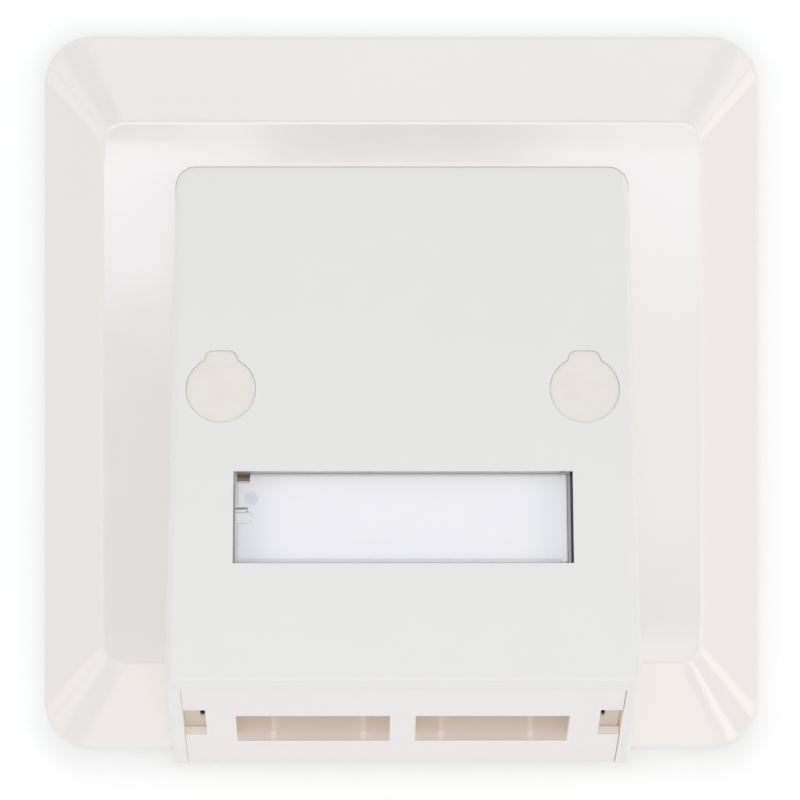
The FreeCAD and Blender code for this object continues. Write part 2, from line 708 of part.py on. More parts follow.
def base():
    """Flat moulded base: plate, sill under the panel, bosses and fibre drum."""
    plate = outline_prism(square_outline(BASE_HALF, BASE_CORNER_R, 0), BASE_H)
    parts = [
        block(-SILL_HALF_X, SILL_HALF_X, SILL_BACK_H, BASE_H, SILL_FOOT_Z, OVERCUT - BASE_HALF),
        fibre_drum(),
    ]
    holes = []
    for side in (-1, 1):
        parts.append(post(side * WELL_X, 0, BOSS_R, BASE_H / 2, WELL_FOOT_H))
        holes.append(post(side * WELL_X, 0, COVER_SCREW_R + FIT_PLAY, -OVERCUT, FAR))
        parts.append(peg(side * CLAMP_SCREW_X, CLAMP_Z, CLAMP_BOSS_HALF, BASE_H / 2, CLAMP_BOSS_H))
        holes.append(post(side * CLAMP_SCREW_X, CLAMP_Z, CLAMP_SCREW_R + FIT_PLAY, -OVERCUT, FAR))
        holes.append(peg(side * PEG_X, PEG_Z, PEG_HALF + FIT_PLAY, -OVERCUT, FAR))
        holder_z = (HOLDER_LOW_Z + HOLDER_HIGH_Z) / 2
        holes.append(peg(side * HOLDER_PEG_X, holder_z, HOLDER_PEG_HALF + FIT_PLAY, -OVERCUT, FAR))
        slot_left = side * BOX_SCREW_X - SLOT_LENGTH / 2
        slot = slot_outline(slot_left, slot_left + SLOT_LENGTH, 0, SLOT_R, -OVERCUT)
        holes.append(outline_prism(slot, BASE_H + 2 * OVERCUT))
    entry = rounded_outline(
        -ENTRY_HALF_X, ENTRY_HALF_X, ENTRY_LOW_Z, ENTRY_HIGH_Z, ENTRY_CORNER_R, -OVERCUT
    )
    holes.append(outline_prism(entry, BASE_H + 2 * OVERCUT))
    return plate.fuse(parts).cut(holes).removeSplitter()


def cable_clamp():
    """Saddle that presses the cable's jacket on the base: an arch between two screw ears."""
    half_z = CLAMP_DEPTH / 2
    z_low = CLAMP_Z - half_z
    reach = CLAMP_SCREW_X + half_z
    ear_top_h = CLAMP_BOSS_H + CLAMP_EAR_THICK
    saddle = block(-reach, reach, CLAMP_BOSS_H, ear_top_h, z_low, CLAMP_Z + half_z)
    arch = Part.makeCylinder(
        CLAMP_ARCH_R + CLAMP_EAR_THICK, CLAMP_DEPTH, V(0, -CLAMP_BOSS_H, z_low), V(0, 0, 1)
    )
    arch = arch.common(block(-FAR, FAR, CLAMP_BOSS_H, FAR, -FAR, FAR))
    groove = Part.makeCylinder(CLAMP_ARCH_R, 2 * FAR, V(0, -CLAMP_BOSS_H, -FAR), V(0, 0, 1))
    holes = [groove]
    for side in (-1, 1):
        holes.append(post(side * CLAMP_SCREW_X, CLAMP_Z, CLAMP_SCREW_R + 2 * FIT_PLAY, 0, FAR))
    return saddle.fuse(arch).cut(holes).removeSplitter()


def clamp_screw(side):
    """Small screw through one ear of the cable clamp."""
    return pan_head_screw(
        side * CLAMP_SCREW_X, CLAMP_Z, CLAMP_BOSS_H + CLAMP_EAR_THICK,
        CLAMP_SCREW_R, CLAMP_SCREW_LENGTH, CLAMP_HEAD_R, CLAMP_HEAD_H,
    )


def splice_holder():
    """Comb that grips the splices in a row of necked grooves at each end, on two locating pegs."""
    floor_h = BASE_H + HOLDER_FLOOR
    top_h = BASE_H + HOLDER_H
    floor = block(-HOLDER_HALF_X, HOLDER_HALF_X, BASE_H, floor_h, HOLDER_LOW_Z, HOLDER_HIGH_Z)
    parts = []
    for side in (-1, 1):
        inner, outer = sorted((side * HOLDER_HALF_X, side * (HOLDER_HALF_X - HOLDER_COMB_LENGTH)))
        parts.append(block(inner, outer, BASE_H, top_h, HOLDER_LOW_Z, HOLDER_HIGH_Z))
        middle_z = (HOLDER_LOW_Z + HOLDER_HIGH_Z) / 2
        parts.append(
            peg(side * HOLDER_PEG_X, middle_z, HOLDER_PEG_HALF, BASE_H - HOLDER_PEG_LENGTH, floor_h)
        )
    grooves = []
    pitch = (HOLDER_HIGH_Z - HOLDER_LOW_Z) / HOLDER_GROOVES
    for index in range(HOLDER_GROOVES):
        z = HOLDER_LOW_Z + pitch * (index + 0.5)
        half = HOLDER_GROOVE / 2
        grooves.append(block(-FAR, FAR, floor_h, floor_h + HOLDER_GROOVE, z - half, z + half))
        half = HOLDER_MOUTH / 2
        grooves.append(block(-FAR, FAR, floor_h, top_h + OVERCUT, z - half, z + half))
    return floor.fuse(parts).cut(grooves).removeSplitter()


def export(name, shape):
    """Write one named piece and say what it measures."""
    solids = shape.Solids
    box = shape.BoundBox
    size = f"{box.XLength:.2f} x {box.YLength:.2f} x {box.ZLength:.2f}"
    print(f"{name:20s} solids {len(solids)} valid {shape.isValid()} volume {shape.Volume:.2f} size {size}")
    solid = solids[0] if len(solids) == 1 else shape
    solid.exportStep(f"parts/{name}.step")


os.makedirs("parts", exist_ok=True)
export("frame", frame())
export("hood", hood())
export("port_panel", port_panel())
export("label_window", label_window())
export("label_card", label_card())
export("base", base())
export("splice_holder", splice_holder())
export("cable_clamp", cable_clamp())
for side, word in ((-1, "left"), (1, "right")):
    export(f"screw_cap_{word}", screw_cap(side))
    export(f"cover_screw_{word}", cover_screw(side))
    export(f"clamp_screw_{word}", clamp_screw(side))
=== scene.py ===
import json
import math

import bpy
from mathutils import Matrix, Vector


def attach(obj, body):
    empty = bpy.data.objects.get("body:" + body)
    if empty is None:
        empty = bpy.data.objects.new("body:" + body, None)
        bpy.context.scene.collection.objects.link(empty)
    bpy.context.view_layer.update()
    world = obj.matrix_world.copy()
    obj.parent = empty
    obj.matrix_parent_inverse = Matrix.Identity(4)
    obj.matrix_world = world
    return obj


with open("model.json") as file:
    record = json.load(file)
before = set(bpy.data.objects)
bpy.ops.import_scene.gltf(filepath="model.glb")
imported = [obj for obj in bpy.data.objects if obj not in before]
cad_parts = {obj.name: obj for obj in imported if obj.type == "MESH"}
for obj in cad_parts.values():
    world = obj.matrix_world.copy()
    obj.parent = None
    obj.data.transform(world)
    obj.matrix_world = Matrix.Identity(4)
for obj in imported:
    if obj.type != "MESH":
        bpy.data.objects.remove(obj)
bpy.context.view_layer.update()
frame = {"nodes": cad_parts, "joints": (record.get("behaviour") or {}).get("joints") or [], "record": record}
nodes = frame["nodes"]


# Base: the flat back moulding that is screwed to the wall box, with its fibre drum and bosses.
# Ivory ABS, injection moulded and left as it comes from the tool, so its back keeps the marks of the
# ejector pins, and it is plainer and warmer than the covers.

ACROSS = (1.0, 0.0, 0.0)
INTO_WALL = (0.0, 1.0, 0.0)
UPRIGHT = (0.0, 0.0, 1.0)


def skin_group():
    """Moulded surface: fine tool grain, slow sink waviness, and a shine that wanders a little."""
    group = bpy.data.node_groups.new("moulded_skin", "ShaderNodeTree")
    for name, value in (
        ("Grain Scale", 5000.0),
        ("Grain Depth", 0.1),
        ("Flow Depth", 0.1),
        ("Shine Low", 0.3),
        ("Shine High", 0.45),
    ):
        socket = group.interface.new_socket(name, in_out="INPUT", socket_type="NodeSocketFloat")
        socket.default_value = value
    group.interface.new_socket("Roughness", in_out="OUTPUT", socket_type="NodeSocketFloat")
    group.interface.new_socket("Normal", in_out="OUTPUT", socket_type="NodeSocketVector")
    tree = group.nodes
    entry = tree.new("NodeGroupInput")
    leave = tree.new("NodeGroupOutput")
    place = tree.new("ShaderNodeTexCoord")
    grain = tree.new("ShaderNodeTexNoise")
    grain.inputs["Detail"].default_value = 3.0
    flow = tree.new("ShaderNodeTexNoise")
    flow.inputs["Scale"].default_value = 90.0
    flow.inputs["Detail"].default_value = 1.0
    patches = tree.new("ShaderNodeTexNoise")
    patches.inputs["Scale"].default_value = 240.0
    patches.inputs["Detail"].default_value = 4.0
    shine = tree.new("ShaderNodeMapRange")
    shine.inputs["From Min"].default_value = 0.3
    shine.inputs["From Max"].default_value = 0.7
    waves = tree.new("ShaderNodeBump")
    waves.inputs["Distance"].default_value = 0.0004
    pits = tree.new("ShaderNodeBump")
    pits.inputs["Distance"].default_value = 0.00004
    join = group.links.new
    for texture in (grain, flow, patches):
        join(place.outputs["Object"], texture.inputs["Vector"])
    join(entry.outputs["Grain Scale"], grain.inputs["Scale"])
    join(flow.outputs["Fac"], waves.inputs["Height"])
    join(entry.outputs["Flow Depth"], waves.inputs["Strength"])
    join(grain.outputs["Fac"], pits.inputs["Height"])
    join(entry.outputs["Grain Depth"], pits.inputs["Strength"])
    join(waves.outputs["Normal"], pits.inputs["Normal"])
    join(patches.outputs["Fac"], shine.inputs["Value"])
    join(entry.outputs["Shine Low"], shine.inputs["To Min"])
    join(entry.outputs["Shine High"], shine.inputs["To Max"])
    join(shine.outputs["Result"], leave.inputs["Roughness"])
    join(pits.outputs["Normal"], leave.inputs["Normal"])
    return group


def tone_group():
    """Colour of a moulding: soft clouds of a second tone, and a few dark specks in the resin."""
    group = bpy.data.node_groups.new("moulded_tone", "ShaderNodeTree")
    for name in ("Tone", "Cloud"):
        group.interface.new_socket(name, in_out="INPUT", socket_type="NodeSocketColor")
    for name, value in (("Cloud Scale", 60.0), ("Cloud Amount", 0.5), ("Specks", 0.3)):
        socket = group.interface.new_socket(name, in_out="INPUT", socket_type="NodeSocketFloat")
        socket.default_value = value
    group.interface.new_socket("Colour", in_out="OUTPUT", socket_type="NodeSocketColor")
    tree = group.nodes
    entry = tree.new("NodeGroupInput")
    leave = tree.new("NodeGroupOutput")
    place = tree.new("ShaderNodeTexCoord")
    clouds = tree.new("ShaderNodeTexNoise")
    clouds.inputs["Detail"].default_value = 3.0
    spread = tree.new("ShaderNodeMapRange")
    spread.inputs["From Min"].default_value = 0.35
    spread.inputs["From Max"].default_value = 0.7
    spread.inputs["To Min"].default_value = 0.0
    blend = tree.new("ShaderNodeMix")
    blend.data_type = "RGBA"
    cells = tree.new("ShaderNodeTexVoronoi")
    cells.inputs["Scale"].default_value = 75.0
    dots = tree.new("ShaderNodeMath")
    dots.operation = "LESS_THAN"
    dots.inputs[1].default_value = 0.012
    chosen = tree.new("ShaderNodeSeparateColor")
    rare = tree.new("ShaderNodeMath")
    rare.operation = "GREATER_THAN"
    rare.inputs[1].default_value = 0.55
    both = tree.new("ShaderNodeMath")
    both.operation = "MULTIPLY"
    weight = tree.new("ShaderNodeMath")
    weight.operation = "MULTIPLY"
    speck = tree.new("ShaderNodeMix")
    speck.data_type = "RGBA"
    speck.inputs["B"].default_value = (0.32, 0.29, 0.26, 1.0)
    join = group.links.new
    join(place.outputs["Object"], clouds.inputs["Vector"])
    join(entry.outputs["Cloud Scale"], clouds.inputs["Scale"])
    join(clouds.outputs["Fac"], spread.inputs["Value"])
    join(entry.outputs["Cloud Amount"], spread.inputs["To Max"])
    join(spread.outputs["Result"], blend.inputs["Factor"])
    join(entry.outputs["Tone"], blend.inputs["A"])
    join(entry.outputs["Cloud"], blend.inputs["B"])
    join(place.outputs["Object"], cells.inputs["Vector"])
    join(cells.outputs["Distance"], dots.inputs[0])
    join(cells.outputs["Color"], chosen.inputs["Color"])
    join(chosen.outputs["Red"], rare.inputs[0])
    join(dots.outputs["Value"], both.inputs[0])
    join(rare.outputs["Value"], both.inputs[1])
    join(both.outputs["Value"], weight.inputs[0])
    join(entry.outputs["Specks"], weight.inputs[1])
    join(weight.outputs["Value"], speck.inputs["Factor"])
    join(blend.outputs["Result"], speck.inputs["A"])
    join(speck.outputs["Result"], leave.inputs["Colour"])
    return group


moulded_skin = skin_group()
moulded_tone = tone_group()


def empty_material(name):
    """A material with only a surface shader and its output."""
    material = bpy.data.materials.new(name)
    material.use_nodes = True
    tree = material.node_tree
    tree.nodes.clear()
    surface = tree.nodes.new("ShaderNodeBsdfPrincipled")
    output = tree.nodes.new("ShaderNodeOutputMaterial")
    tree.links.new(surface.outputs["BSDF"], output.inputs["Surface"])
    return material, tree, surface


def use_group(tree, group, values):
    """One placed copy of a shared effect with its own values."""
    node = tree.nodes.new("ShaderNodeGroup")
    node.node_tree = group
    for name, value in values.items():
        node.inputs[name].default_value = value
    return node


def moulded_plastic(name, tone, cloud, cloud_scale, cloud_amount, specks, grain, flow, shine):
    """Plain moulded plastic with its own tones, tool grain and shine."""
    material, tree, surface = empty_material(name)
    colour = use_group(
        tree,
        moulded_tone,
        {
            "Tone": (*tone, 1.0),
            "Cloud": (*cloud, 1.0),
            "Cloud Scale": cloud_scale,
            "Cloud Amount": cloud_amount,
            "Specks": specks,
        },
    )
    skin = use_group(
        tree,
        moulded_skin,
        {
            "Grain Scale": grain[0],
            "Grain Depth": grain[1],
            "Flow Depth": flow,
            "Shine Low": shine[0],
            "Shine High": shine[1],
        },
    )
    tree.links.new(colour.outputs["Colour"], surface.inputs["Base Color"])
    tree.links.new(skin.outputs["Roughness"], surface.inputs["Roughness"])
    tree.links.new(skin.outputs["Normal"], surface.inputs["Normal"])
    return material, tree, surface


def along(tree, coordinate, direction):
    """How far a point's place, or its normal, reaches in a direction."""
    place = tree.nodes.new("ShaderNodeTexCoord")
    reach = tree.nodes.new("ShaderNodeVectorMath")
    reach.operation = "DOT_PRODUCT"
    reach.inputs[1].default_value = direction
    tree.links.new(place.outputs[coordinate], reach.inputs[0])
    return reach.outputs["Value"]


def calculate(tree, operation, first, *others):
    """One math operation over sockets or numbers, in a chain where there are more than two."""
    result = first
    for other in others or (0.0,):
        node = tree.nodes.new("ShaderNodeMath")
        node.operation = operation
        for socket, value in zip(node.inputs, (result, other)):
            if isinstance(value, bpy.types.NodeSocket):
                tree.links.new(value, socket)
            else:
                socket.default_value = value
        result = node.outputs["Value"]
    return result


def distance(tree, first, second):
    """Straight distance over two offsets that stand square to each other."""
    squares = [calculate(tree, "MULTIPLY", offset, offset) for offset in (first, second)]
    return calculate(tree, "SQRT", calculate(tree, "ADD", *squares))


def second_tone(tree, surface, mask, tone, target="Base Color"):
    """A second colour on a finish, or in its glow, where a mask is set."""
    blend = tree.nodes.new("ShaderNodeMix")
    blend.data_type = "RGBA"
    blend.inputs["B"].default_value = (*tone, 1.0)
    socket = surface.inputs[target]
    if socket.is_linked:
        tree.links.new(socket.links[0].from_socket, blend.inputs["A"])
    else:
        blend.inputs["A"].default_value = socket.default_value
    tree.links.new(mask, blend.inputs["Factor"])
    tree.links.new(blend.outputs["Result"], socket)


def dress(node, material):
    """Give a CAD piece its finish."""
    mesh = nodes[node].data
    mesh.materials.clear()
    mesh.materials.append(material)


base_ivory, base_tree, base_surface = moulded_plastic(
    "base_ivory", tone=(0.80, 0.75, 0.69), cloud=(0.76, 0.70, 0.63),
    cloud_scale=120.0, cloud_amount=0.6, specks=0.5,
    grain=(4200.0, 0.12), flow=0.10, shine=(0.38, 0.52),
)

PIN_PITCH = 0.0170
PIN_R = 0.0024
PIN_LINE = 0.00018
PIN_SHADE = 0.55
FACES_BACK = 0.5
pin_offsets = []
for direction in (ACROSS, UPRIGHT):
    cell = calculate(base_tree, "FLOORED_MODULO", along(base_tree, "Object", direction), PIN_PITCH)
    pin_offsets.append(calculate(base_tree, "SUBTRACT", cell, PIN_PITCH / 2))
pin_off = calculate(base_tree, "SUBTRACT", distance(base_tree, *pin_offsets), PIN_R)
pin_edge = calculate(base_tree, "LESS_THAN", calculate(base_tree, "ABSOLUTE", pin_off), PIN_LINE)
pin_back = calculate(base_tree, "GREATER_THAN", along(base_tree, "Normal", INTO_WALL), FACES_BACK)
pin_mark = calculate(base_tree, "MULTIPLY", pin_edge, pin_back)
pin_tint = calculate(base_tree, "MULTIPLY", pin_mark, PIN_SHADE)
second_tone(base_tree, base_surface, pin_tint, (0.55, 0.50, 0.44))
pin_bump = base_tree.nodes.new("ShaderNodeBump")
pin_bump.inputs["Strength"].default_value = 0.4
pin_bump.inputs["Distance"].default_value = 0.0001
base_tree.links.new(pin_mark, pin_bump.inputs["Height"])
base_tree.links.new(base_surface.inputs["Normal"].links[0].from_socket, pin_bump.inputs["Normal"])
base_tree.links.new(pin_bump.outputs["Normal"], base_surface.inputs["Normal"])
dress("base", base_ivory)


# Splice holder: the soft comb that grips the fibre splices in open grooves.
# Grey silicone rubber, pressed into the base on two pegs.

holder_rubber, _, _ = moulded_plastic(
    "holder_rubber", tone=(0.34, 0.35, 0.36), cloud=(0.29, 0.30, 0.31),
    cloud_scale=300.0, cloud_amount=0.7, specks=0.0,
    grain=(3000.0, 0.3), flow=0.12, shine=(0.62, 0.78),
)
dress("splice_holder", holder_rubber)


# Cable clamp and its two screws: a moulded saddle that holds the cable's jacket on the base.
# The saddle is the base's own ivory plastic, and the pan-head screws are zinc plated steel.

dress("cable_clamp", base_ivory)

screw_zinc, _, zinc_surface = moulded_plastic(
    "screw_zinc", tone=(0.62, 0.62, 0.60), cloud=(0.55, 0.56, 0.58),
    cloud_scale=900.0, cloud_amount=0.8, specks=0.0,
    grain=(7000.0, 0.2), flow=0.05, shine=(0.26, 0.42),
)
zinc_surface.inputs["Metallic"].default_value = 1.0
for side in ("left", "right"):
    dress(f"clamp_screw_{side}", screw_zinc)


# Cover frame: the square bevelled surround, pinched between the hood and the base.
# Glossy white ABS from a polished tool, with slow waves in its reflections.

frame_gloss, _, _ = moulded_plastic(
    "frame_gloss", tone=(0.87, 0.853, 0.842), cloud=(0.86, 0.84, 0.826),
    cloud_scale=40.0, cloud_amount=0.5, specks=0.35,
    grain=(2500.0, 0.015), flow=0.05, shine=(0.08, 0.12),
)
dress("frame", frame_gloss)


# Port panel: the slanted plate between the hood's cheeks, with the empty connector openings.
# Satin white ABS, carried by two pegs in the base's sill and by the catches on the cheeks.
# Its openings get a painted warm tone and a faint painted glow inside, for light that has gone through the
# plastic, painted shade on their outward-facing ledges, and the strongest painted glow on the guide ribs.

CHEEK_WALL = 0.0009
LEDGE_FACING = 0.5
record = frame["record"]
cap_joint = next(joint for joint in frame["joints"] if joint["name"] == "cap_left_pull")
port_mount = next(mount for mount in record["mounts"] if mount["name"] == "port_left")
face_normal = Vector(cap_joint["axis"])
panel_normal = Vector(port_mount["axis"])
face_level = max(vertex.co.dot(face_normal) for vertex in nodes["hood"].data.vertices)
panel_level = Vector(port_mount["pos_m"]).dot(panel_normal)
cheek_level = max(vertex.co.x for vertex in nodes["port_panel"].data.vertices) + CHEEK_WALL


def recess_group():
    """How far a point lies inside the hood, below its face, its panel and its sides: 0 to 1."""
    group = bpy.data.node_groups.new("recess_depth", "ShaderNodeTree")
    for name, value in (("Start", 0.0003), ("End", 0.0018)):
        socket = group.interface.new_socket(name, in_out="INPUT", socket_type="NodeSocketFloat")
        socket.default_value = value
    group.interface.new_socket("Mask", in_out="OUTPUT", socket_type="NodeSocketFloat")
    entry = group.nodes.new("NodeGroupInput")
    leave = group.nodes.new("NodeGroupOutput")
    sideways = calculate(group, "ABSOLUTE", along(group, "Object", ACROSS))
    depths = [calculate(group, "SUBTRACT", cheek_level, sideways)]
    for normal, level in ((face_normal, face_level), (panel_normal, panel_level)):
        depths.append(calculate(group, "SUBTRACT", level, along(group, "Object", normal)))
    ramp = group.nodes.new("ShaderNodeMapRange")
    ramp.interpolation_type = "SMOOTHSTEP"
    group.links.new(calculate(group, "MINIMUM", *depths), ramp.inputs["Value"])
    group.links.new(entry.outputs["Start"], ramp.inputs["From Min"])
    group.links.new(entry.outputs["End"], ramp.inputs["From Max"])
    group.links.new(ramp.outputs["Result"], leave.inputs["Mask"])
    return group


def paint_inner_light_and_shade(tree, surface, mask, tone, ledge_shade, glow):
    """Painted warm light in gaps and openings, painted shade on outward-facing ledges, and a faint painted
    glow for light through thin walls.
    """
    second_tone(tree, surface, mask, tone)
    outward = calculate(tree, "GREATER_THAN", along(tree, "Normal", panel_normal), LEDGE_FACING)
    second_tone(tree, surface, calculate(tree, "MULTIPLY", outward, mask), ledge_shade)
    surface.inputs["Emission Color"].default_value = (0.0, 0.0, 0.0, 1.0)
    surface.inputs["Emission Strength"].default_value = 1.0
    second_tone(tree, surface, mask, glow, "Emission Color")


recess_depth = recess_group()

panel_satin, panel_tree, panel_surface = moulded_plastic(
    "panel_satin", tone=(0.834, 0.825, 0.826), cloud=(0.82, 0.806, 0.804),
    cloud_scale=70.0, cloud_amount=0.5, specks=0.35,
    grain=(4500.0, 0.10), flow=0.10, shine=(0.32, 0.44),
)
panel_inside = use_group(panel_tree, recess_depth, {"Start": 0.00018, "End": 0.0003}).outputs["Mask"]
# Painted warm light and glow inside the openings, with painted shade on their ledges.
paint_inner_light_and_shade(
    panel_tree, panel_surface, panel_inside,
    tone=(0.90, 0.855, 0.81), ledge_shade=(0.50, 0.45, 0.40), glow=(0.105, 0.082, 0.062),
)

GUIDE_RIB_X = (0.0043, 0.0142)
GUIDE_RIB_HALF = 0.00027
panel_side = calculate(panel_tree, "ABSOLUTE", along(panel_tree, "Object", ACROSS))
rib_gaps = [
    calculate(panel_tree, "ABSOLUTE", calculate(panel_tree, "SUBTRACT", panel_side, rib_x))
    for rib_x in GUIDE_RIB_X
]
on_rib = calculate(panel_tree, "LESS_THAN", calculate(panel_tree, "MINIMUM", *rib_gaps), GUIDE_RIB_HALF)
rib_painted_glow = calculate(panel_tree, "MULTIPLY", on_rib, panel_inside)
# Painted glow on the guide ribs inside the openings, so they read lighter than the shelf.
second_tone(panel_tree, panel_surface, rib_painted_glow, (0.16, 0.14, 0.12), "Emission Color")
dress("port_panel", panel_satin)


# Label card: the blank strip behind the window.
# Uncoated bluish white paper, cut to the pocket and simply laid in, with painted shade towards its ends.

label_paper, label_tree, label_surface = moulded_plastic(
    "label_paper", tone=(0.955, 0.962, 1.0), cloud=(0.942, 0.949, 0.988),
    cloud_scale=700.0, cloud_amount=0.5, specks=0.0,
    grain=(2600.0, 0.16), flow=0.05, shine=(0.80, 0.92),
)
# Painted shade towards both ends of the card, for the pocket's shadow on it.
LABEL_SHADE_LEFT_X = (-0.0118, -0.0186)
LABEL_SHADE_RIGHT_X = (0.0125, 0.0155)
for (shade_start, shade_end), shaded_tone in (
    (LABEL_SHADE_LEFT_X, (0.80, 0.81, 0.84)),
    (LABEL_SHADE_RIGHT_X, (0.91, 0.92, 0.95)),
):
    end_shade = label_tree.nodes.new("ShaderNodeMapRange")
    end_shade.interpolation_type = "SMOOTHSTEP"
    end_shade.inputs["From Min"].default_value = shade_start
    end_shade.inputs["From Max"].default_value = shade_end
    label_tree.links.new(along(label_tree, "Object", ACROSS), end_shade.inputs["Value"])
    second_tone(label_tree, label_surface, end_shade.outputs["Result"], shaded_tone)
dress("label_card", label_paper)


# Hood: the wedge-shaped cover with the screw wells and the label pocket.
# Satin white ABS with a fine spark-eroded grain, clamped over the frame by the two cover screws.
# Its wells get a painted warm tone and a faint painted glow inside, with painted shade on their ledges, and
# the pocket's walls, pick slot, hinge-end gap and notch corners are painted in shade, down to black.

hood_satin, hood_tree, hood_surface = moulded_plastic(
    "hood_satin", tone=(0.82, 0.824, 0.813), cloud=(0.806, 0.808, 0.795),
    cloud_scale=55.0, cloud_amount=0.5, specks=0.6,
    grain=(5200.0, 0.14), flow=0.12, shine=(0.34, 0.46),
)
POCKET_HALF_X = 0.0186
POCKET_SPAN = (-0.0195, -0.0085)
POCKET_DEEP = (0.00025, 0.0030)
GAP_RIGHT_X = 0.0181
SLOT_SPAN_X = (-0.0180, -0.0165)
SLOT_LOW = -0.01015
NOTCH_X = 0.0205
NOTCH_UP = -0.0240
face_up = Vector(ACROSS).cross(-face_normal)
face_foot = Vector((0.0, face_level / face_normal.y, 0.0))


def face_places(tree):
    """Across, up and down into the hood's slanted face, from the place where it crosses the axis."""
    places = [along(tree, "Object", ACROSS)]
    for direction in (face_up, -face_normal):
        reach = along(tree, "Object", direction)
        places.append(calculate(tree, "SUBTRACT", reach, face_foot.dot(direction)))
    return places


def between(tree, value, low, high):
    """Mask of the values between two limits."""
    above = calculate(tree, "GREATER_THAN", value, low)
    return calculate(tree, "MULTIPLY", above, calculate(tree, "LESS_THAN", value, high))


hood_across, hood_up, hood_deep = face_places(hood_tree)
hood_side = calculate(hood_tree, "ABSOLUTE", hood_across)
in_pocket = calculate(
    hood_tree, "MULTIPLY",
    calculate(hood_tree, "LESS_THAN", hood_side, POCKET_HALF_X),
    between(hood_tree, hood_up, *POCKET_SPAN),
    between(hood_tree, hood_deep, *POCKET_DEEP),
)
slot_walls = calculate(
    hood_tree, "MULTIPLY",
    in_pocket,
    between(hood_tree, hood_across, *SLOT_SPAN_X),
    calculate(hood_tree, "GREATER_THAN", hood_up, SLOT_LOW),
)
right_gap = calculate(
    hood_tree, "MULTIPLY", in_pocket, calculate(hood_tree, "GREATER_THAN", hood_across, GAP_RIGHT_X)
)
# Painted black shade in the inner top corners of the end notches.
notch_shade = calculate(
    hood_tree, "MULTIPLY",
    use_group(hood_tree, recess_depth, {"Start": 0.0013, "End": 0.0016}).outputs["Mask"],
    calculate(hood_tree, "GREATER_THAN", hood_side, NOTCH_X),
    calculate(hood_tree, "LESS_THAN", hood_up, NOTCH_UP),
)
hood_lit = calculate(hood_tree, "SUBTRACT", 1.0, calculate(hood_tree, "MAXIMUM", in_pocket, notch_shade))
# Painted warm light and glow inside the wells and gaps, with painted shade on their ledges.
hood_recess = use_group(hood_tree, recess_depth, {"Start": 0.0004, "End": 0.0010}).outputs["Mask"]
paint_inner_light_and_shade(
    hood_tree, hood_surface, calculate(hood_tree, "MULTIPLY", hood_recess, hood_lit),
    tone=(0.92, 0.82, 0.72), ledge_shade=(0.50, 0.45, 0.41), glow=(0.10, 0.08, 0.06),
)
hood_black_shade = calculate(hood_tree, "MAXIMUM", right_gap, notch_shade)
# Painted shade: the pocket grey, the hinge-end gap and notch corners black, the pick slot's walls dark grey.
second_tone(hood_tree, hood_surface, in_pocket, (0.60, 0.585, 0.58))
second_tone(hood_tree, hood_surface, hood_black_shade, (0.03, 0.027, 0.025))
second_tone(hood_tree, hood_surface, slot_walls, (0.36, 0.34, 0.335))
dress("hood", hood_satin)


# Label window: the thin clear plate that snaps over the label and swings out on its right-hand bead.
# Polished clear acrylic with dull sawn edges and a frosted gate mark, with painted shade tinting its bevels
# grey and its sawn edges near black.
# Light passes straight through it to the label, and the camera sees it as clear plastic.

window_clear, window_tree, window_surface = empty_material("window_clear")
window_skin = use_group(
    window_tree,
    moulded_skin,
    {
        "Grain Scale": 2200.0,
        "Grain Depth": 0.01,
        "Flow Depth": 0.02,
        "Shine Low": 0.015,
        "Shine High": 0.05,
    },
)
window_tint = use_group(
    window_tree,
    moulded_tone,
    {
        "Tone": (0.985, 0.987, 1.0, 1.0),
        "Cloud": (0.975, 0.98, 0.995, 1.0),
        "Cloud Scale": 200.0,
        "Cloud Amount": 0.5,
        "Specks": 0.0,
    },
)
window_surface.inputs["Transmission Weight"].default_value = 1.0
window_surface.inputs["IOR"].default_value = 1.49
window_tree.links.new(window_tint.outputs["Colour"], window_surface.inputs["Base Color"])
window_tree.links.new(window_skin.outputs["Normal"], window_surface.inputs["Normal"])

GATE_X = -0.01642
GATE_UP = -0.01195
GATE_R = 0.00075
GATE_DULL = 0.35
EDGE_FACING = 0.5
EDGE_DULL = 0.6
BEVEL_FACING = 0.9
window_across, window_up, _ = face_places(window_tree)
gate_x = calculate(window_tree, "SUBTRACT", window_across, GATE_X)
gate_up = calculate(window_tree, "SUBTRACT", window_up, GATE_UP)
gate_mark = calculate(window_tree, "LESS_THAN", distance(window_tree, gate_x, gate_up), GATE_R)
square_on = calculate(window_tree, "ABSOLUTE", along(window_tree, "Normal", face_normal))
sawn_edge = calculate(window_tree, "LESS_THAN", square_on, EDGE_FACING)
bevelled = calculate(window_tree, "LESS_THAN", square_on, BEVEL_FACING)
second_tone(window_tree, window_surface, gate_mark, (0.76, 0.76, 0.81))
# Painted shade: bevels tinted grey and sawn edges near black, for the dark lines seen along the window's
# edges.
second_tone(window_tree, window_surface, bevelled, (0.66, 0.67, 0.69))
second_tone(window_tree, window_surface, sawn_edge, (0.15, 0.155, 0.17))
window_dull = calculate(
    window_tree, "MAXIMUM",
    window_skin.outputs["Roughness"],
    calculate(window_tree, "MULTIPLY", gate_mark, GATE_DULL),
    calculate(window_tree, "MULTIPLY", sawn_edge, EDGE_DULL),
)
window_tree.links.new(window_dull, window_surface.inputs["Roughness"])
window_path = window_tree.nodes.new("ShaderNodeLightPath")
let_through = window_tree.nodes.new("ShaderNodeBsdfTransparent")
window_mix = window_tree.nodes.new("ShaderNodeMixShader")
window_output = next(node for node in window_tree.nodes if node.type == "OUTPUT_MATERIAL")
let_light = calculate(
    window_tree, "MAXIMUM", window_path.outputs["Is Shadow Ray"], window_path.outputs["Is Diffuse Ray"]
)
window_tree.links.new(let_light, window_mix.inputs["Fac"])
window_tree.links.new(window_surface.outputs["BSDF"], window_mix.inputs[1])
window_tree.links.new(let_through.outputs["BSDF"], window_mix.inputs[2])
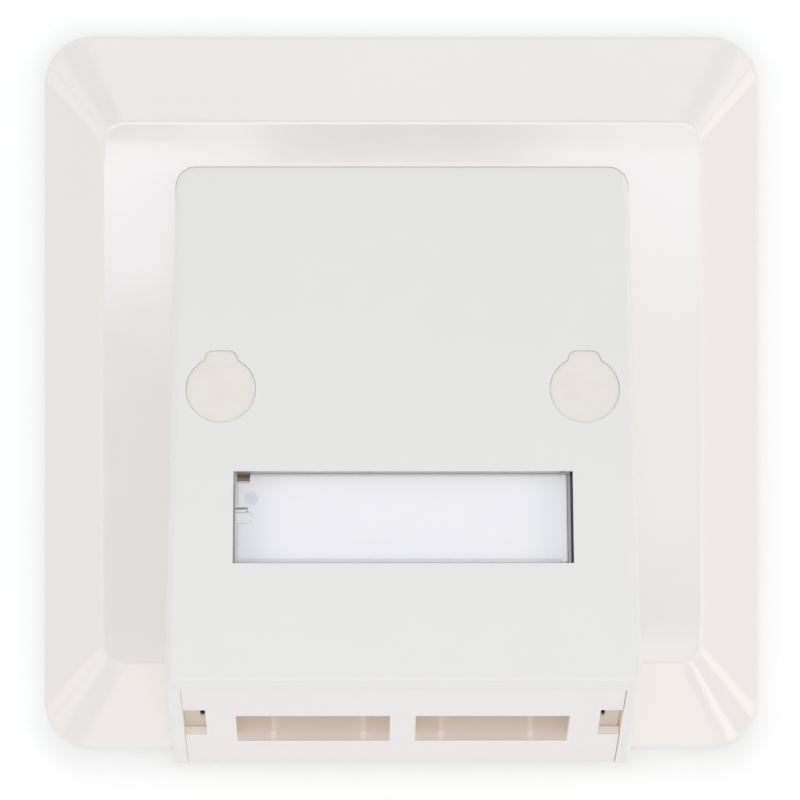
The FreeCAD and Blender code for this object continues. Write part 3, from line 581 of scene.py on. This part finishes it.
window_tree.links.new(window_mix.outputs["Shader"], window_output.inputs["Surface"])
dress("label_window", window_clear)


# Cover screws: the two screws at the bottom of the wells that clamp hood and frame to the base.
# Zinc plated steel pan heads, the same finish as the clamp's screws.

for side in ("left", "right"):
    dress(f"cover_screw_{side}", screw_zinc)


# Screw caps: the cream plugs that hide the cover screws, pried out by the small lug at the top.
# Slightly translucent unpainted plastic, with crush ribs round the skirt that grip the socket.

cap_cream, _, cap_surface = moulded_plastic(
    "cap_cream", tone=(0.858, 0.83, 0.786), cloud=(0.835, 0.802, 0.748),
    cloud_scale=420.0, cloud_amount=0.9, specks=0.0,
    grain=(4000.0, 0.08), flow=0.2, shine=(0.28, 0.42),
)
cap_surface.inputs["Subsurface Weight"].default_value = 0.35
cap_surface.inputs["Subsurface Radius"].default_value = (1.0, 0.75, 0.5)
cap_surface.inputs["Subsurface Scale"].default_value = 0.0008

CAP_RIB_COUNT = 8
CAP_RIB_SIDES = 12
CAP_RIB_R = 0.00027
CAP_RIB_TIP_R = 0.00012
CAP_RIB_LENGTH = 0.00125
CAP_RIB_BACK = 0.0002
CAP_SKIRT_R = 0.0035
CAP_RIM_NEAR = 1e-5


def rib_ring_group():
    """A ring of tapered crush ribs that stand along an axis, at a given place and turn."""
    group = bpy.data.node_groups.new("crush_ribs", "GeometryNodeTree")
    group.interface.new_socket("Geometry", in_out="OUTPUT", socket_type="NodeSocketGeometry")
    for name, kind in (
        ("Count", "NodeSocketInt"),
        ("Ring Radius", "NodeSocketFloat"),
        ("Rib Radius", "NodeSocketFloat"),
        ("Tip Radius", "NodeSocketFloat"),
        ("Rib Length", "NodeSocketFloat"),
        ("Place", "NodeSocketVector"),
        ("Turn", "NodeSocketFloat"),
        ("Finish", "NodeSocketMaterial"),
    ):
        group.interface.new_socket(name, in_out="INPUT", socket_type=kind)
    tree = group.nodes
    entry = tree.new("NodeGroupInput")
    leave = tree.new("NodeGroupOutput")
    ring = tree.new("GeometryNodeCurvePrimitiveCircle")
    rib = tree.new("GeometryNodeMeshCone")
    rib.inputs["Vertices"].default_value = CAP_RIB_SIDES
    spread = tree.new("GeometryNodeInstanceOnPoints")
    tilt = tree.new("ShaderNodeCombineXYZ")
    settle = tree.new("GeometryNodeTransform")
    realize = tree.new("GeometryNodeRealizeInstances")
    finish = tree.new("GeometryNodeSetMaterial")
    join = group.links.new
    join(entry.outputs["Count"], ring.inputs["Resolution"])
    join(entry.outputs["Ring Radius"], ring.inputs["Radius"])
    join(entry.outputs["Tip Radius"], rib.inputs["Radius Bottom"])
    join(entry.outputs["Rib Radius"], rib.inputs["Radius Top"])
    join(entry.outputs["Rib Length"], rib.inputs["Depth"])
    join(ring.outputs["Curve"], spread.inputs["Points"])
    join(rib.outputs["Mesh"], spread.inputs["Instance"])
    join(entry.outputs["Turn"], tilt.inputs["X"])
    join(spread.outputs["Instances"], settle.inputs["Geometry"])
    join(entry.outputs["Place"], settle.inputs["Translation"])
    join(tilt.outputs["Vector"], settle.inputs["Rotation"])
    join(settle.outputs["Geometry"], realize.inputs["Geometry"])
    join(realize.outputs["Geometry"], finish.inputs["Geometry"])
    join(entry.outputs["Finish"], finish.inputs["Material"])
    join(finish.outputs["Geometry"], leave.inputs["Geometry"])
    return group


def grown(name, group, values):
    """A plain mesh piece from a Geometry Nodes tree with its own values."""
    seed = bpy.data.objects.new(name + "_seed", bpy.data.meshes.new(name + "_seed"))
    bpy.context.scene.collection.objects.link(seed)
    modifier = seed.modifiers.new("tree", "NODES")
    modifier.node_group = group
    for item in group.interface.items_tree:
        if item.in_out == "INPUT":
            modifier[item.identifier] = values[item.name]
    shown = seed.evaluated_get(bpy.context.evaluated_depsgraph_get())
    mesh = bpy.data.meshes.new_from_object(shown)
    mesh.name = name
    bpy.data.objects.remove(seed)
    piece = bpy.data.objects.new(name, mesh)
    bpy.context.scene.collection.objects.link(piece)
    return piece


crush_ribs = rib_ring_group()
for side in ("left", "right"):
    cap = f"screw_cap_{side}"
    dress(cap, cap_cream)
    cap_points = [vertex.co for vertex in nodes[cap].data.vertices]
    cap_back = min(point.dot(face_normal) for point in cap_points)
    rim_points = [point for point in cap_points if point.dot(face_normal) < cap_back + CAP_RIM_NEAR]
    rim_across = [point.x for point in rim_points]
    rim_up = [point.dot(face_up) for point in rim_points]
    rib_foot = Vector(((min(rim_across) + max(rim_across)) / 2, 0.0, 0.0))
    rib_foot += face_up * (min(rim_up) + max(rim_up)) / 2 + face_normal * (cap_back + CAP_RIB_BACK)
    ribs = grown(
        f"cap_ribs_{side}",
        crush_ribs,
        {
            "Count": CAP_RIB_COUNT,
            "Ring Radius": CAP_SKIRT_R,
            "Rib Radius": CAP_RIB_R,
            "Tip Radius": CAP_RIB_TIP_R,
            "Rib Length": CAP_RIB_LENGTH,
            "Place": rib_foot,
            "Turn": math.atan2(-face_normal.y, face_normal.z),
            "Finish": cap_cream,
        },
    )
    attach(ribs, cap)


# Wall, light and camera: a white wall with a soft shade round the outlet, softboxes and a pale surround.
# The wall is only there for what looks at its front, so the back of the outlet stays in view and lit.
# The glints and the dark card beside the camera show only as reflections in the glossy frame.

WALL_HALF = 1.5
WALL_Y = 0.0002
WALL_GLOW = (0.13, 0.15, 0.155)
WALL_SHADE = 0.85
SHADE_FROM, SHADE_TO = -0.0020, 0.0032
FRAME_SHADE = {"x_span": (-0.0400, 0.0405), "z_span": (-0.0417, 0.0400), "corner": 0.005}
HOOD_SHADE = {"x_span": (-0.0252, 0.0252), "z_span": (-0.0406, 0.0), "corner": 0.001}


def upright_card(name, x_span, z_span, y):
    """A flat rectangle that stands square to the camera."""
    corners = [(0, 0), (1, 0), (1, 1), (0, 1)]
    mesh = bpy.data.meshes.new(name)
    mesh.from_pydata([(x_span[i], y, z_span[j]) for i, j in corners], [], [(0, 1, 2, 3)])
    card = bpy.data.objects.new(name, mesh)
    bpy.context.scene.collection.objects.link(card)
    return card


def outside(tree, x_span, z_span, corner):
    """How far a point of the wall lies outside a rounded rectangle."""
    pasts = []
    for direction, (low, high) in ((ACROSS, x_span), (UPRIGHT, z_span)):
        off = calculate(tree, "SUBTRACT", along(tree, "Object", direction), (low + high) / 2)
        past = calculate(tree, "SUBTRACT", calculate(tree, "ABSOLUTE", off), (high - low) / 2 - corner)
        pasts.append(calculate(tree, "MAXIMUM", past, 0.0))
    return calculate(tree, "SUBTRACT", distance(tree, *pasts), corner)


wall = upright_card("wall", (-WALL_HALF, WALL_HALF), (-WALL_HALF, WALL_HALF), WALL_Y)
wall_white = bpy.data.materials.new("wall_white")
wall_white.use_nodes = True
wall_tree = wall_white.node_tree
wall_tree.nodes.clear()
wall_paint = wall_tree.nodes.new("ShaderNodeBsdfDiffuse")
wall_glow = wall_tree.nodes.new("ShaderNodeEmission")
wall_glow.inputs["Color"].default_value = (*WALL_GLOW, 1.0)
# Painted shadow: the wall's colour and glow are darkened close round the frame and the hood.
wall_gaps = [outside(wall_tree, **shade) for shade in (FRAME_SHADE, HOOD_SHADE)]
wall_shade = wall_tree.nodes.new("ShaderNodeMapRange")
wall_shade.inputs["From Min"].default_value = SHADE_FROM
wall_shade.inputs["From Max"].default_value = SHADE_TO
wall_shade.inputs["To Min"].default_value = WALL_SHADE
wall_bright = wall_tree.nodes.new("ShaderNodeAddShader")
wall_gone = wall_tree.nodes.new("ShaderNodeBsdfTransparent")
wall_path = wall_tree.nodes.new("ShaderNodeLightPath")
wall_side = wall_tree.nodes.new("ShaderNodeNewGeometry")
wall_mix = wall_tree.nodes.new("ShaderNodeMixShader")
wall_output = wall_tree.nodes.new("ShaderNodeOutputMaterial")
wall_front = calculate(wall_tree, "SUBTRACT", 1.0, wall_side.outputs["Backfacing"])
wall_seen = calculate(
    wall_tree, "MAXIMUM", wall_path.outputs["Is Camera Ray"], wall_path.outputs["Is Glossy Ray"]
)
wall_tree.links.new(calculate(wall_tree, "MINIMUM", *wall_gaps), wall_shade.inputs["Value"])
wall_tree.links.new(wall_shade.outputs["Result"], wall_paint.inputs["Color"])
wall_tree.links.new(wall_shade.outputs["Result"], wall_glow.inputs["Strength"])
wall_tree.links.new(calculate(wall_tree, "MULTIPLY", wall_seen, wall_front), wall_mix.inputs["Fac"])
wall_tree.links.new(wall_paint.outputs["BSDF"], wall_bright.inputs[0])
wall_tree.links.new(wall_glow.outputs["Emission"], wall_bright.inputs[1])
wall_tree.links.new(wall_gone.outputs["BSDF"], wall_mix.inputs[1])
wall_tree.links.new(wall_bright.outputs["Shader"], wall_mix.inputs[2])
wall_tree.links.new(wall_mix.outputs["Shader"], wall_output.inputs["Surface"])
wall.data.materials.append(wall_white)

AMBIENT = 0.80
world = bpy.data.worlds.new("studio")
world.use_nodes = True
world_tree = world.node_tree
world_tree.nodes.clear()
surround = world_tree.nodes.new("ShaderNodeBackground")
surround.inputs["Color"].default_value = (1.0, 1.0, 1.0, 1.0)
world_path = world_tree.nodes.new("ShaderNodeLightPath")
world_level = world_tree.nodes.new("ShaderNodeMapRange")
world_level.inputs["To Min"].default_value = AMBIENT
world_level.inputs["To Max"].default_value = 1.0
world_output = world_tree.nodes.new("ShaderNodeOutputWorld")
world_seen = calculate(
    world_tree, "MAXIMUM",
    world_path.outputs["Is Camera Ray"],
    world_path.outputs["Is Glossy Ray"],
    world_path.outputs["Is Transmission Ray"],
)
world_tree.links.new(world_seen, world_level.inputs["Value"])
world_tree.links.new(world_level.outputs["Result"], surround.inputs["Strength"])
world_tree.links.new(surround.outputs["Background"], world_output.inputs["Surface"])
bpy.context.scene.world = world


def softbox(name, place, size, colour, power):
    """A rectangular softbox aimed at the outlet."""
    lamp = bpy.data.lights.new(name, "AREA")
    lamp.shape = "RECTANGLE"
    lamp.size, lamp.size_y = size
    lamp.color = colour
    lamp.energy = power
    holder = bpy.data.objects.new(name, lamp)
    holder.location = place
    holder.rotation_euler = (-Vector(place)).to_track_quat("-Z", "Y").to_euler()
    holder.visible_transmission = False
    bpy.context.scene.collection.objects.link(holder)
    return holder


def glint(name, place, size, colour, power):
    """A softbox that shows only as a reflection in a glossy surface."""
    holder = softbox(name, place, size, colour, power)
    holder.visible_diffuse = False
    holder.visible_camera = False


LIGHT_PLAIN = (1.0, 1.0, 1.0)
LIGHT_COOL = (0.96, 1.0, 1.10)
LIGHT_WARM = (1.0, 0.825, 0.74)
LIGHT_FLOOR = (1.0, 0.87, 0.79)
EDGE_OUT, EDGE_Y = 1.0, -0.27
STRIP_WIDE, STRIP_LONG = 0.3, 1.0
softbox("edge_left", (-EDGE_OUT, EDGE_Y, 0.0), (STRIP_WIDE, STRIP_LONG), LIGHT_WARM, 1.14)
softbox("edge_right", (EDGE_OUT, EDGE_Y, 0.0), (STRIP_WIDE, STRIP_LONG), LIGHT_WARM, 1.95)
softbox("edge_top", (0.0, EDGE_Y, EDGE_OUT), (STRIP_LONG, STRIP_WIDE), LIGHT_COOL, 0.87)
softbox("edge_bottom", (0.0, EDGE_Y, -EDGE_OUT), (STRIP_LONG, STRIP_WIDE), LIGHT_FLOOR, 1.35)

CORNER_OUT = 0.75
CORNER_SIZE = (0.3, 0.6)
glint("corner_top_left", (-CORNER_OUT, EDGE_Y, CORNER_OUT), CORNER_SIZE, LIGHT_PLAIN, 0.5)
glint("corner_top_right", (CORNER_OUT, EDGE_Y, CORNER_OUT), CORNER_SIZE, LIGHT_PLAIN, 0.7)
glint("corner_bottom_left", (-CORNER_OUT, EDGE_Y, -CORNER_OUT), CORNER_SIZE, LIGHT_PLAIN, 0.6)
glint("corner_bottom_right", (0.50, EDGE_Y, -0.93), (0.3, 0.5), LIGHT_PLAIN, 1.2)

BEHIND_Y = -0.62
glint("dim_left", (-0.165, BEHIND_Y, -0.14), (0.27, 0.32), LIGHT_WARM, 0.01)
glint("dim_right", (0.135, BEHIND_Y, -0.14), (0.33, 0.32), LIGHT_PLAIN, 0.17)
glint("gleam_high", (0.0, BEHIND_Y, 0.17), (0.6, 0.30), LIGHT_COOL, 1.85)

GLEAM_OUT = 0.70
GLEAM_WIDE, GLEAM_LONG = 0.50, 1.0
glint("gleam_left", (-GLEAM_OUT, -GLEAM_OUT, 0.0), (GLEAM_WIDE, GLEAM_LONG), LIGHT_PLAIN, 1.5)
glint("gleam_right", (GLEAM_OUT, -GLEAM_OUT, 0.0), (GLEAM_WIDE, GLEAM_LONG), LIGHT_PLAIN, 3.0)
glint("gleam_bottom", (0.0, -GLEAM_OUT, -GLEAM_OUT), (GLEAM_LONG, GLEAM_WIDE), LIGHT_PLAIN, 2.5)

BESIDE_Y = -0.49
glint("beside_left", (-0.034, BESIDE_Y, -0.010), (0.016, 0.064), LIGHT_COOL, 0.0090)
glint("beside_right", (0.055, BESIDE_Y, -0.008), (0.038, 0.056), LIGHT_PLAIN, 0.0090)

CARD_Y = -0.492
CARD_SPAN_X = (-0.0243, 0.0337)
CARD_SPAN_Z = (-0.040, 0.046)
card = upright_card("camera_card", CARD_SPAN_X, CARD_SPAN_Z, CARD_Y)
card.visible_camera = False
card.visible_diffuse = False
card.visible_transmission = False
card.visible_shadow = False
card_black = bpy.data.materials.new("card_black")
card_black.use_nodes = True
card_black.node_tree.nodes["Principled BSDF"].inputs["Base Color"].default_value = (0.03, 0.03, 0.03, 1.0)
card.data.materials.append(card_black)

CAMERA_X = -0.0045
CAMERA_Z = -0.000788
CAMERA_FAR = 0.5
AIM_X = -0.000169
camera_data = bpy.data.cameras.new("front_camera")
camera_data.sensor_width = 36.0
camera_data.lens = 199.97
camera_data.clip_start = 0.01
camera = bpy.data.objects.new("front_camera", camera_data)
camera.location = (CAMERA_X, -CAMERA_FAR, CAMERA_Z)
camera.rotation_euler = (math.radians(90.0), 0.0, -math.atan2(AIM_X - CAMERA_X, CAMERA_FAR))
bpy.context.scene.collection.objects.link(camera)
bpy.context.scene.camera = camera
bpy.context.scene.view_settings.view_transform = "Standard"
